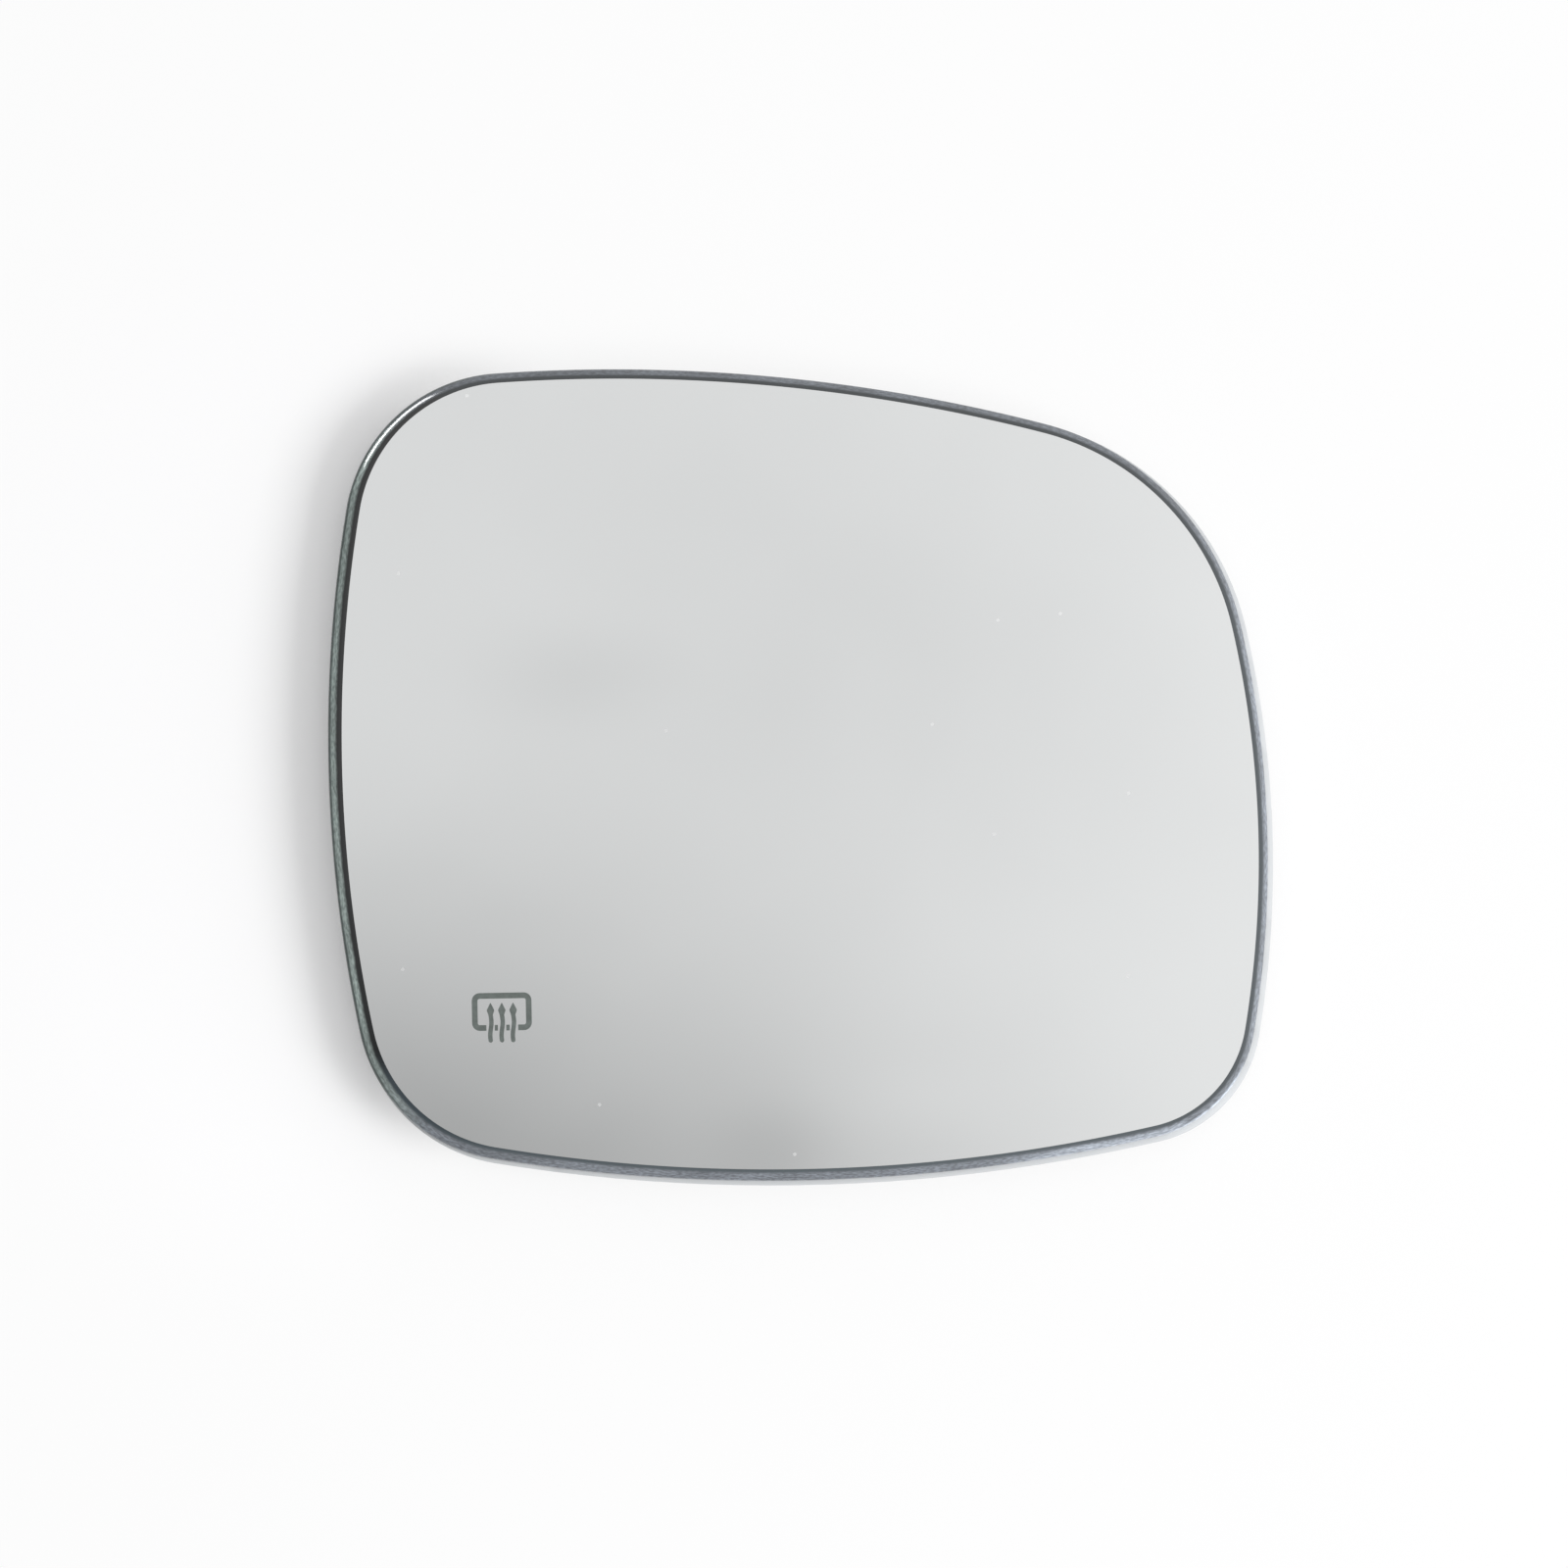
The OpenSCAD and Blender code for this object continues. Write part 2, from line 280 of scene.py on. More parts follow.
class NodeGraph:
    """A short way to place and join shader nodes in one tree."""

    def __init__(self, tree: bpy.types.NodeTree) -> None:
        """Keeps the tree that the nodes go into."""
        self.tree = tree

    def link(self, source: Socket, target: Socket) -> None:
        """Joins an output socket to an input socket."""
        self.tree.links.new(source, target)

    def add(self, kind: str, values: dict | None = None, **settings) -> Node:
        """Adds a node.

        Args:
            kind: the node's type.
            values: what its inputs hold, or the output socket that feeds them.
            settings: attributes of the node itself.

        Returns:
            The node.
        """
        node = self.tree.nodes.new(kind)
        for key, value in settings.items():
            setattr(node, key, value)
        for key, value in (values or {}).items():
            if isinstance(value, bpy.types.NodeSocket):
                self.link(value, node.inputs[key])
            else:
                node.inputs[key].default_value = value
        return node

    def math(self, operation: str, a: Value, b: Value = 0.0, c: Value | None = None) -> Socket:
        """A Math node's output, with a, b and c as numbers or sockets."""
        values = {0: a, 1: b} if c is None else {0: a, 1: b, 2: c}
        return self.add("ShaderNodeMath", values, operation=operation).outputs[0]

    def smooth(self, source: Socket, low: float, high: float, at_low: float,
               at_high: float) -> Socket:
        """A value that turns smoothly as another goes from low to high.

        Args:
            source: the other value.
            low: where the turn begins.
            high: where it ends.
            at_low: the value up to low.
            at_high: the value from high on.

        Returns:
            The value.
        """
        values = {"Value": source, "From Min": low, "From Max": high, "To Min": at_low,
                  "To Max": at_high}
        node = self.add("ShaderNodeMapRange", values, interpolation_type="SMOOTHSTEP")
        return node.outputs["Result"]

    def plane(self, way: list, terms: tuple) -> Socket:
        """terms[0] + terms[1] * way[0] + terms[2] * way[1]."""
        first = self.math("MULTIPLY_ADD", way[0], terms[1], terms[0])
        return self.math("MULTIPLY_ADD", way[1], terms[2], first)

    def grey(self, level: Socket) -> Socket:
        """A grey of the level."""
        values = {"Red": level, "Green": level, "Blue": level}
        return self.add("ShaderNodeCombineColor", values).outputs[0]

    def ramp(self, source: Socket, tones: tuple) -> Socket:
        """Colour by a value between 0 and 1.

        Args:
            source: the value.
            tones: two pairs of place and linear colour.

        Returns:
            The colour.
        """
        node = self.add("ShaderNodeValToRGB", {"Fac": source})
        for element, (place, colour) in zip(node.color_ramp.elements, tones):
            element.position = place
            element.color = (*colour, 1.0)
        return node.outputs["Color"]

    def mix(self, amount: Value, a: Value | tuple, b: Value | tuple,
            blend: str = "MIX") -> Socket:
        """Colour a changed towards b.

        Args:
            amount: how far, from 0 to 1.
            a: a colour or a socket.
            b: a colour or a socket.
            blend: how the two are blended.

        Returns:
            The colour.
        """
        values = {0: amount, 6: a, 7: b}
        node = self.add("ShaderNodeMix", values, data_type="RGBA", blend_type=blend)
        return node.outputs[2]

    def place(self) -> Socket:
        """The place on the piece, in metres."""
        return self.add("ShaderNodeTexCoord").outputs["Object"]


class Effects:
    """Node groups that more than one finish uses."""

    def __init__(self) -> None:
        """Builds the groups once."""
        self.grain = self._grain()
        self.specks = self._specks()

    def _new_group(self, name: str, inputs: dict, outputs: tuple) -> tuple[NodeGraph, Node, Node]:
        """An empty shader node group.

        Args:
            name: name of the group.
            inputs: names and starting values, all plain numbers.
            outputs: names, all plain numbers.

        Returns:
            The graph, its input node and its output node.
        """
        tree = bpy.data.node_groups.new(name, "ShaderNodeTree")
        sockets = [(label, "INPUT") for label in inputs] + [(label, "OUTPUT") for label in outputs]
        for label, way in sockets:
            socket = tree.interface.new_socket(
                name=label, in_out=way, socket_type="NodeSocketFloat")
            socket.default_value = inputs.get(label, 0.0)
        graph = NodeGraph(tree)
        return graph, graph.add("NodeGroupInput"), graph.add("NodeGroupOutput")

    def _grain(self) -> bpy.types.NodeTree:
        """Fine uneven surface: fine noise as a height and coarse noise as a shade.

        Returns:
            The group.
        """
        graph, given, out = self._new_group(
            "surface_grain", {"Size": 2000.0, "Coarse": 60.0}, ("Height", "Shade"))
        place = graph.place()
        for scale, detail, result in (("Size", 3.0, "Height"), ("Coarse", 4.0, "Shade")):
            values = {"Vector": place, "Scale": given.outputs[scale], "Detail": detail}
            noise = graph.add("ShaderNodeTexNoise", values)
            graph.link(noise.outputs["Fac"], out.inputs[result])
        return graph.tree

    def _specks(self) -> bpy.types.NodeTree:
        """Dust specks: the middles of a few cells of a wide flat cell pattern, as a mask.

        Returns:
            The group.
        """
        graph, given, out = self._new_group(
            "dust_specks", {"Spacing": 60.0, "Radius": 0.03, "Share": 0.8}, ("Mask",))
        values = {"Vector": graph.place(), "Scale": given.outputs["Spacing"]}
        cells = graph.add("ShaderNodeTexVoronoi", values, voronoi_dimensions="2D")
        near = graph.math("LESS_THAN", cells.outputs["Distance"], given.outputs["Radius"])
        pick = graph.add("ShaderNodeSeparateColor", {"Color": cells.outputs["Color"]})
        some = graph.math("GREATER_THAN", pick.outputs["Red"], given.outputs["Share"])
        graph.link(graph.math("MULTIPLY", near, some), out.inputs["Mask"])
        return graph.tree

    def use(self, graph: NodeGraph, group: bpy.types.NodeTree, values: dict) -> Node:
        """Places a group in a material's graph with its own values.

        Args:
            graph: the material's graph.
            group: the node group.
            values: names and values of its inputs.

        Returns:
            The group's node.
        """
        node = graph.add("ShaderNodeGroup", node_tree=group)
        for key, value in values.items():
            node.inputs[key].default_value = value
        return node


# Finishes

@dataclass(frozen=True)
class Surface:
    """The sockets that feed a finish's shader."""

    colour: Socket
    rough: Socket
    height: Socket


@dataclass(frozen=True)
class Finish:
    """What all the finishes share: grain, a colour and a roughness by it, and a bump.

    The colour goes from the first tone to the second by the grain's shade. The roughness is
    rough[0] times the grain's output rough_by, plus rough[1]. bump holds strength and distance,
    and plain the values that are the same all over.
    """

    name: str = "finish"
    grain: tuple = (2000.0, 60.0)
    tones: tuple = ()
    rough: tuple = (0.1, 0.4)
    rough_by: str = "Shade"
    bump: tuple = (0.0, 0.0)
    plain: tuple = ()

    def material(self, effects: Effects) -> bpy.types.Material:
        """Builds the material.

        Args:
            effects: the shared node groups.

        Returns:
            The material.
        """
        material = bpy.data.materials.new(self.name)
        material.use_nodes = True
        graph = NodeGraph(material.node_tree)
        shader = material.node_tree.nodes["Principled BSDF"]
        size, coarse = self.grain
        grain = effects.use(graph, effects.grain, {"Size": size, "Coarse": coarse})
        surface = self.surface(graph, grain, effects)
        graph.link(surface.colour, shader.inputs["Base Color"])
        graph.link(surface.rough, shader.inputs["Roughness"])
        strength, distance = self.bump
        if strength > 0:
            values = {"Height": surface.height, "Strength": strength, "Distance": distance}
            bump = graph.add("ShaderNodeBump", values)
            graph.link(bump.outputs["Normal"], shader.inputs["Normal"])
        for key, value in self.plain:
            shader.inputs[key].default_value = value
        return material

    def roughness(self, graph: NodeGraph, grain: Node) -> Socket:
        """The roughness by the grain."""
        return graph.math("MULTIPLY_ADD", grain.outputs[self.rough_by], *self.rough)

    def surface(self, graph: NodeGraph, grain: Node, effects: Effects) -> Surface:
        """Colour and roughness by the grain, and its fine height.

        Args:
            graph: the material's graph.
            grain: the grain's node.
            effects: the shared node groups.

        Returns:
            The sockets.
        """
        colour = graph.ramp(grain.outputs["Shade"], self.tones)
        return Surface(colour, self.roughness(graph, grain), grain.outputs["Height"])


@dataclass(frozen=True)
class Silvering(Finish):
    """The mirror face: silvered glass with a thin uneven haze and a few specks of dust."""

    name: str = "silvered_glass"
    grain: tuple = (900.0, 14.0)
    tones: tuple = ((0.3, (0.788, 0.79982, 0.800805)), (0.7, (0.80, 0.812, 0.813)))
    rough: tuple = (0.05, 0.03)
    plain: tuple = (("Metallic", 1.0),)
    dust: tuple = (("Spacing", 75.0), ("Radius", 0.026), ("Share", 0.92))
    dust_colour: tuple = (0.88, 0.89, 0.89)
    dust_rough: float = 0.3

    def surface(self, graph: NodeGraph, grain: Node, effects: Effects) -> Surface:
        """The haze, with the specks of dust laid over it.

        Args:
            graph: the material's graph.
            grain: the grain's node.
            effects: the shared node groups.

        Returns:
            The sockets.
        """
        clean = super().surface(graph, grain, effects)
        dust = effects.use(graph, effects.specks, dict(self.dust)).outputs["Mask"]
        colour = graph.mix(dust, clean.colour, (*self.dust_colour, 1.0))
        rough = graph.math("MULTIPLY_ADD", dust, self.dust_rough, clean.rough)
        return Surface(colour, rough, clean.height)


@dataclass(frozen=True)
class Sector:
    """A part of the way round the glass, as a soft step of x_share * x + y_share * y.

    x and y are the outward direction of the edge. The value turns from at_low to at_high while
    the sum goes from low to high.
    """

    x_share: float
    y_share: float
    low: float
    high: float
    at_low: float
    at_high: float

    def value(self, graph: NodeGraph, way: list) -> Socket:
        """The value, from the two sockets of the outward direction."""
        total = graph.plane(way, (0.0, self.x_share, self.y_share))
        return graph.smooth(total, self.low, self.high, self.at_low, self.at_high)


@dataclass(frozen=True)
class Streaks:
    """Grinding marks: noise on the edge map, stretched along the outline.

    along is marks to a metre of outline, and across marks over the width of the edge. The level
    turns from levels[0] to levels[1] while the noise goes from one of its ends to the other.
    """

    along: float
    across: float
    ends: tuple
    levels: tuple

    def level(self, graph: NodeGraph, uv: Socket) -> Socket:
        """The level of the marks.

        Args:
            graph: the material's graph.
            uv: the edge map.

        Returns:
            The level, about 1 in the middle.
        """
        values = {0: uv, 1: (self.along, self.across, 1.0)}
        place = graph.add("ShaderNodeVectorMath", values, operation="MULTIPLY").outputs[0]
        values = {"Vector": place, "Scale": 1.0, "Detail": 3.0}
        noise = graph.add("ShaderNodeTexNoise", values).outputs["Fac"]
        return graph.smooth(noise, *self.ends, *self.levels)


@dataclass(frozen=True)
class GroundEdge(Finish):
    """The ground edge of the glass: dark beside the silvering and blue-grey outside.

    Both bands are partly the edge's own dark glass and partly painted reflection, and their tones
    change round the glass with the way the edge faces: painted reflection and painted shade of the
    room. The inner band is darkest at the upper left, where a painted dark line of shade also
    closes the edge, and lightest at the bottom and the right. The outer band is greenish and
    lighter at the left, darker along the top and grows lighter outwards at the right; round the
    lower right corner its outer side has a painted highlight, and where that corner begins a
    painted glint. An across pair gives the places across the edge between which a band sets in.
    """

    name: str = "ground_glass_edge"
    grain: tuple = (2500.0, 260.0)
    rough: tuple = (0.12, 0.06)
    plain: tuple = (("Coat Weight", 0.7), ("Coat Roughness", 0.04), ("IOR", 1.52))
    waver: float = 0.12

    # dark and middle are the bands' tones, partly the glass's own and partly painted reflection;
    # middle_left is the outer band at the left, the glass's green tint lightened by painted
    # reflection; line is the tone of the painted dark line of shade.
    dark: tuple = (0.021, 0.027, 0.031)
    middle: tuple = (0.150, 0.166, 0.190)
    middle_left: tuple = (0.265, 0.315, 0.300)
    line: tuple = (0.072, 0.088, 0.086)

    dark_ends: tuple = (0.365, 0.015, 0.045)
    dark_ends_curve: float = 0.10
    dark_soft: float = 0.14
    # dark_lift and least_lift set the inner band's painted reflection and shade by the way the edge
    # faces.
    dark_lift: tuple = (1.7, 0.0, -0.9)
    least_lift: float = 0.3
    line_across: tuple = (0.76, 0.87)
    # The next two pairs place the painted highlight and the painted glint across the edge.
    highlight_across: tuple = (0.77, 0.98)
    glint_across: tuple = (0.30, 0.65)
    marks: Streaks = Streaks(900.0, 9.0, (0.34, 0.66), (0.68, 1.30))
    mottles: Streaks = Streaks(60.0, 1.0, (0.36, 0.62), (0.80, 1.14))

    # The sectors below paint reflection and shade by the way the edge faces: left, top, right and
    # right_low on the outer band, dimmed and dark_corner on the inner band, lined for the painted
    # dark line, and the last two for the painted highlight and glint.
    left: Sector = Sector(1.0, 0.0, -0.95, -0.5, 1.0, 0.0)
    dimmed: Sector = Sector(-1.0, 0.35, 0.62, 0.85, 1.0, 0.1)
    lined: Sector = Sector(-1.0, 0.35, 0.3, 0.75, 0.0, 0.88)
    dark_corner: Sector = Sector(0.707, -0.707, 0.75, 1.0, 0.0, -0.7)
    top: Sector = Sector(0.3, 0.95, 0.3, 0.8, 1.0, 0.76)
    right: Sector = Sector(0.95, -0.3, 0.4, 0.9, 0.0, 0.85)
    right_low: Sector = Sector(0.0, 1.0, -0.35, 0.15, 0.1, 1.0)
    painted_highlight: Sector = Sector(0.6, -0.8, 0.85, 0.96, 0.0, 2.2)
    painted_glint: Sector = Sector(0.309, -0.951, 0.978, 0.994, 0.0, 1.45)

    def surface(self, graph: NodeGraph, grain: Node, effects: Effects) -> Surface:
        """The two bands and the painted dark line of shade, by the glass's two UV maps.

        The map edge runs along the outline in metres, and from 0 where the face ends over 1 at
        the outline to 2 at the back. The map heading holds the outward direction, halved and
        moved to lie between 0 and 1.

        Args:
            graph: the material's graph.
            grain: the grain's node.
            effects: the shared node groups.

        Returns:
            The sockets.
        """
        uv = graph.add("ShaderNodeUVMap", uv_map="edge").outputs["UV"]
        across = graph.add("ShaderNodeSeparateXYZ", {"Vector": uv}).outputs["Y"]
        heading = graph.add("ShaderNodeUVMap", uv_map="heading").outputs["UV"]
        heading = graph.add("ShaderNodeSeparateXYZ", {"Vector": heading})
        way = [graph.math("MULTIPLY_ADD", heading.outputs[axis], 2.0, -1.0) for axis in ("X", "Y")]
        start = graph.math("SUBTRACT", across, self.waver / 2)
        place = graph.math("MULTIPLY_ADD", grain.outputs["Shade"], self.waver, start)

        # painted reflection: the outer band lighter and greener at the left
        band = graph.mix(self.left.value(graph, way), (*self.middle, 1.0),
                         (*self.middle_left, 1.0))
        level = self._band_level(graph, uv, way, place)
        band = graph.mix(1.0, band, graph.grey(level), "MULTIPLY")
        # inner band: painted reflection and shade by the way the edge faces
        dark = graph.mix(1.0, (*self.dark, 1.0), graph.grey(self._lift(graph, way)), "MULTIPLY")
        colour = graph.mix(self._inner(graph, way, place), band, dark)
        # painted shade: a dark line at the outer rim, at the upper left only
        rim = graph.smooth(place, *self.line_across, 0.0, 1.0)
        rim = graph.math("MULTIPLY", rim, self.lined.value(graph, way))
        colour = graph.mix(rim, colour, (*self.line, 1.0))
        return Surface(colour, self.roughness(graph, grain), grain.outputs["Height"])

    def _inner(self, graph: NodeGraph, way: list, place: Socket) -> Socket:
        """Where the dark inner band is: 1 up to its end, which lies further out at both sides.

        Args:
            graph: the material's graph.
            way: the outward direction.
            place: the place across the edge.

        Returns:
            The mask.
        """
        curve = graph.math("POWER", way[0], 2.0)
        ends = graph.math("MULTIPLY_ADD", curve, self.dark_ends_curve,
                          graph.plane(way, self.dark_ends))
        past = graph.math("SUBTRACT", place, ends)
        return graph.smooth(past, -self.dark_soft, self.dark_soft, 1.0, 0.0)

    def _lift(self, graph: NodeGraph, way: list) -> Socket:
        """How light the dark inner band is: painted reflection and painted shade by the way the
        edge faces.

        Args:
            graph: the material's graph.
            way: the outward direction.

        Returns:
            The level.
        """
        lift = graph.math("ADD", graph.plane(way, self.dark_lift),
                          self.dark_corner.value(graph, way))
        lift = graph.math("MAXIMUM", lift, self.least_lift)
        return graph.math("MULTIPLY", lift, self.dimmed.value(graph, way))

    def _band_level(self, graph: NodeGraph, uv: Socket, way: list, place: Socket) -> Socket:
        """Level of the outer band: marks and mottles, and its changes round the glass, which are
        painted shade, painted reflection and painted highlights.

        Args:
            graph: the material's graph.
            uv: the edge map.
            way: the outward direction.
            place: the place across the edge.

        Returns:
            The level, about 1 where nothing changes it.
        """
        level = graph.math("MULTIPLY", self.marks.level(graph, uv), self.mottles.level(graph, uv))
        # painted shade along the top, and painted reflection growing lighter outwards at the right
        level = graph.math("MULTIPLY", level, self.top.value(graph, way))
        right = graph.math("MULTIPLY", self.right.value(graph, way),
                           self.right_low.value(graph, way))
        slope = graph.math("MULTIPLY_ADD", graph.math("SUBTRACT", place, 0.5), right, 1.0)
        level = graph.math("MULTIPLY", level, slope)
        # painted highlights: base colour lifted round the lower right corner and where that corner
        # begins
        lights = [
            graph.math("MULTIPLY_ADD", graph.smooth(place, *ends, 0.0, 1.0),
                       sector.value(graph, way), 1.0)
            for ends, sector in ((self.highlight_across, self.painted_highlight), (self.glint_across, self.painted_glint))]
        return graph.math("MULTIPLY", level, graph.math("MAXIMUM", *lights))


@dataclass(frozen=True)
class SignPaint(Finish):
    """The heating sign: matt grey where the silvering is etched away."""

    name: str = "etched_sign"
    grain: tuple = (4000.0, 900.0)
    tones: tuple = ((0.35, (0.0968, 0.11264, 0.1056)), (0.65, (0.121, 0.1408, 0.132)))
    rough: tuple = (0.1, 0.4)
    rough_by: str = "Height"


@dataclass(frozen=True)
class MouldedPlastic(Finish):
    """Pale moulded plastic with a fine eroded texture and faint flow marks."""

    name: str = "moulded_plastic"
    grain: tuple = (3200.0, 35.0)
    tones: tuple = ((0.3, (0.5328, 0.5472, 0.55872)), (0.7, (0.555, 0.57, 0.582)))
    rough: tuple = (0.16, 0.37)
    rough_by: str = "Height"
    bump: tuple = (0.25, 0.04 * MM)


@dataclass(frozen=True)
class Foam(Finish):
    """Closed-cell foam tape: off-white, dull, with small cells."""

    name: str = "foam_tape"
    grain: tuple = (1800.0, 120.0)
    tones: tuple = ((0.0, (0.576, 0.576, 0.544)), (0.5, (0.72, 0.72, 0.68)))
    rough: tuple = (0.1, 0.82)
    bump: tuple = (0.6, 0.1 * MM)
    cells: float = 2600.0

    def surface(self, graph: NodeGraph, grain: Node, effects: Effects) -> Surface:
        """Colour and height by the distance from the middle of a cell.

        Args:
            graph: the material's graph.
            grain: the grain's node.
            effects: the shared node groups.

        Returns:
            The sockets.
        """
        values = {"Vector": graph.place(), "Scale": self.cells}
        far = graph.add("ShaderNodeTexVoronoi", values).outputs["Distance"]
        return Surface(graph.ramp(far, self.tones), self.roughness(graph, grain), far)


@dataclass(frozen=True)
class Film(Finish):
    """Dark heating film with printed silver tracks that run to and fro across it."""

    name: str = "heating_film"
    grain: tuple = (1500.0, 90.0)
    rough: tuple = (0.15, 0.38)
    ground: tuple = (0.022, 0.022, 0.024)
    track: tuple = (0.38, 0.38, 0.39)
    track_pitch: float = 34.0
    track_edge: float = 0.72

    def surface(self, graph: NodeGraph, grain: Node, effects: Effects) -> Surface:
        """Tracks where a triangular wave along y stands high.

        Args:
            graph: the material's graph.
            grain: the grain's node.
            effects: the shared node groups.

        Returns:
            The sockets.
        """
        values = {"Vector": graph.place(), "Scale": self.track_pitch, "Distortion": 0.0}
        wave = graph.add("ShaderNodeTexWave", values, bands_direction="Y", wave_profile="TRI")
        lines = graph.math("GREATER_THAN", wave.outputs["Fac"], self.track_edge)
        colour = graph.mix(lines, (*self.ground, 1.0), (*self.track, 1.0))
        return Surface(colour, self.roughness(graph, grain), grain.outputs["Height"])


@dataclass(frozen=True)
class Brass(Finish):
    """Stamped brass sheet with rolling marks and slight tarnish."""

    name: str = "stamped_brass"
    grain: tuple = (2400.0, 420.0)
    tones: tuple = ((0.38, (0.52, 0.38, 0.19)), (0.56, (0.80, 0.62, 0.30)))
    rough: tuple = (0.3, 0.16)
    bump: tuple = (0.15, 0.03 * MM)
    plain: tuple = (("Metallic", 1.0),)


# Pieces

def finish_piece(piece: Piece) -> None:
    """Lets a new piece ride on the one body and reports it.

    Args:
        piece: the piece.
    """
    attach(piece, "root")
    log.info("%s: %d faces", piece.name, len(piece.data.polygons))


@dataclass
class MirrorGlass:
    """The convex glass with its rolled ground edge. It stands for the CAD glass.

    edge_reach is the mean width of the edge and its change from side to top. edge_start is the
    angle at which the edge's ellipse leaves the face.
    """

    effects: Effects
    thickness: float = 2.0 * MM
    edge_reach: tuple = (2.25 * MM, 0.11 * MM)
    edge_start: float = math.radians(20)
    edge_drop: float = 1.15 * MM
    back_reach: float = 0.55 * MM
    face_shift: tuple = (0.485 * MM, 0.155 * MM)
    rings: int = 26
    edge_steps: int = 18
    back_steps: int = 6

    def edge_profile(self) -> tuple[np.ndarray, np.ndarray, np.ndarray]:
        """The section of the edge.

        The front part is a quarter of an ellipse: the offset is -(1 - sin a) of the reach and the
        depth drop * (1 - cos a), for a from edge_start to 90 degrees, both stretched to start at
        the face, so that the face ends in a crease. The place across is 1 + offset. The back part
        is a smaller quarter turned the other way, in metres, with places from 1 to 2.

        Returns:
            Offset from the outline, depth under the face and place across, for each ring.
        """
        a = np.linspace(self.edge_start, math.pi / 2, self.edge_steps)
        lift = 1 - np.cos(a[0])
        front = -(1 - np.sin(a)) / (1 - np.sin(a[0]))
        depth = self.edge_drop * (1 - np.cos(a) - lift) / (1 - lift)
        steps = np.arange(1, self.back_steps + 1) / self.back_steps
        b = steps * math.pi / 2
        back = -self.back_reach * (1 - np.cos(b))
        low = self.thickness - self.back_reach * (1 - np.sin(b))
        across = np.concatenate([1 + front, 1 + steps])
        return np.concatenate([front, back]), np.concatenate([depth, low]), across

    def build(self) -> Piece:
        """Builds the glass: rings on the face, round the edge and back along the underside.

        The reach of the edge is edge_reach[0] + edge_reach[1] * (x^2 - y^2) of the outward
        direction. A face ring is the face's outline scaled about the centre by t, with t stepped
        evenly. The face sits face_shift off the middle of the outline, so an edge ring is moved
        by (1 - its place across) times that.

        Returns:
            The glass.
        """
        points, outward = OUTLINE.walk()
        offset, depth, across = self.edge_profile()
        squares = outward ** 2
        reach = self.edge_reach[0] + self.edge_reach[1] * (squares[:, :1] - squares[:, 1:])
        reach = reach * outward
        face = points - reach + self.face_shift
        shares = np.linspace(0, 1, self.rings + 1)[1:-1]
        rows = [np.column_stack([face * t, DOME.height(face * t)]) for t in shares]
        first = len(rows)
        for o, d, v in zip(offset, depth, across):
            shift = max(0.0, 1 - v) * np.array(self.face_shift)
            xy = points + o * (reach if v < 1 else outward) + shift
            rows.append(np.column_stack([xy, DOME.height(xy, d)]))
        under = points + offset[-1] * outward
        rows += [np.column_stack([under * t, DOME.height(under * t, self.thickness)])
                 for t in shares[::-1]]
        piece, ring_of = loft("mirror_glass_body", np.stack(rows))
        self._seat_poles(piece)
        piece.data.materials.append(Silvering().material(self.effects))
        piece.data.materials.append(GroundEdge().material(self.effects))
        kind = (ring_of >= first) & (ring_of < first + len(offset) - 1)
        piece.data.polygons.foreach_set("material_index", kind.astype(np.int32))
        behind = np.full(len(rows) - first - len(offset), 2.0)
        self._edge_maps(piece, points, outward, np.concatenate([np.zeros(first), across, behind]))
        self._crease(piece, len(points), first)
        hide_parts("mirror_glass")
        finish_piece(piece)
        return piece

    def _seat_poles(self, piece: Piece) -> None:
        """Puts the two poles on the face and on the back."""
        for pole, depth in zip(piece.data.vertices[-2:], (0.0, self.thickness)):
            pole.co.z = float(DOME.height(np.array(pole.co[:2]), depth))

    def _edge_maps(self, piece: Piece, points: np.ndarray, outward: np.ndarray,
                   places: np.ndarray) -> None:
        """Writes two UV maps: the place along and across the edge, and the way that it faces.

        The loops of a quad are its upper and lower left corner and its lower and upper right
        corner, so the last quad of a ring takes the whole length as its right end. A triangle at
        a pole takes zeros.

        Args:
            piece: the glass.
            points: the outline.
            outward: its outward directions.
            places: the place across of each ring.
        """
        step = np.hypot(*(np.roll(points, -1, axis=0) - points).T)
        left = np.concatenate([[0], np.cumsum(step)[:-1]])
        along = np.stack([left, left, left + step, left + step], axis=-1)
        across = np.stack([places[:-1], places[1:], places[1:], places[:-1]], axis=-1)
        edge = np.stack(np.broadcast_arrays(along[None], across[:, None]), axis=-1)
        after = np.roll(outward, -1, axis=0)
        ways = np.stack([outward, outward, after, after], axis=1)
        heading = np.broadcast_to(ways / 2 + 0.5, (len(places) - 1, *ways.shape))
        for name, values in (("edge", edge), ("heading", heading)):
            layer = piece.data.uv_layers.new(name=name)
            table = np.zeros((len(piece.data.loops), 2))
            table[:values.size // 2] = values.reshape(-1, 2)
            layer.data.foreach_set("uv", table.ravel())

    def _crease(self, piece: Piece, around: int, first: int) -> None:
        """Marks the ring where the face ends as sharp, so that the face stays a clean reflector.

        Args:
            piece: the glass.
            around: number of points on a ring.
            first: number of the ring where the face ends.
        """
        mesh = piece.data
        ends = np.empty(len(mesh.edges) * 2, dtype=np.int32)
        mesh.edges.foreach_get("vertices", ends)
        sharp = (ends.reshape(-1, 2) // around == first).all(axis=1)
        mesh.attributes.new("sharp_edge", "BOOLEAN", "EDGE").data.foreach_set("value", sharp)


